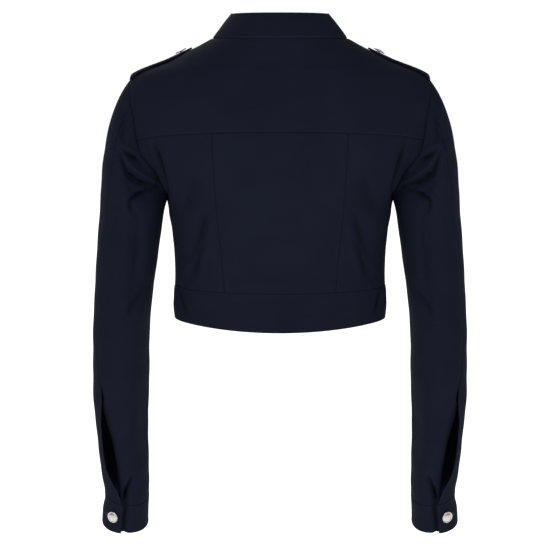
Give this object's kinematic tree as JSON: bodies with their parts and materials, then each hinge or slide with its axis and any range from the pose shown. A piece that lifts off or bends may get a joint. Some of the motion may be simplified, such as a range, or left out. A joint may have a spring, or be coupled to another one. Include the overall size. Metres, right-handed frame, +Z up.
{
  "type": "cropped jacket",
  "caption": "Cropped, fitted long-sleeved jacket with a stand collar, shoulder straps, back yoke, princess seams, deep waistband and cuffs that close with metal buttons.",
  "frame": {"origin": "between the shoulders, in the middle of the neck opening, level with the collar seam at the back and the sides of the neck", "axes": "+Z up, the front of the jacket faces -Y, the wearer's left is +X"},
  "size_m": [0.489, 0.2589, 0.6824],
  "materials": {
    "suiting": "matt dark navy wool suiting in a fine weave",
    "button_metal": "satin nickel with a low dome"
  },
  "bodies": {
    "root": {"back_yoke": "suiting", "back_centre": "suiting", "back_side_left": "suiting", "back_side_right": "suiting", "front_left": "suiting", "front_right": "suiting", "waistband_back": "suiting", "waistband_front_left": "suiting", "waistband_front_right": "suiting", "collar": "suiting", "sleeve_upper_left": "suiting", "sleeve_upper_right": "suiting", "sleeve_under_left": "suiting", "sleeve_under_right": "suiting", "cuff_left": "suiting", "cuff_right": "suiting", "shoulder_strap_left": "suiting", "shoulder_strap_right": "suiting", "cuff_button_left": "button_metal", "cuff_button_right": "button_metal", "shoulder_button_left": "button_metal", "shoulder_button_right": "button_metal", "front_button_1": "button_metal", "front_button_2": "button_metal", "front_button_3": "button_metal", "front_button_4": "button_metal", "front_button_5": "button_metal"}
  },
  "joints": []
}
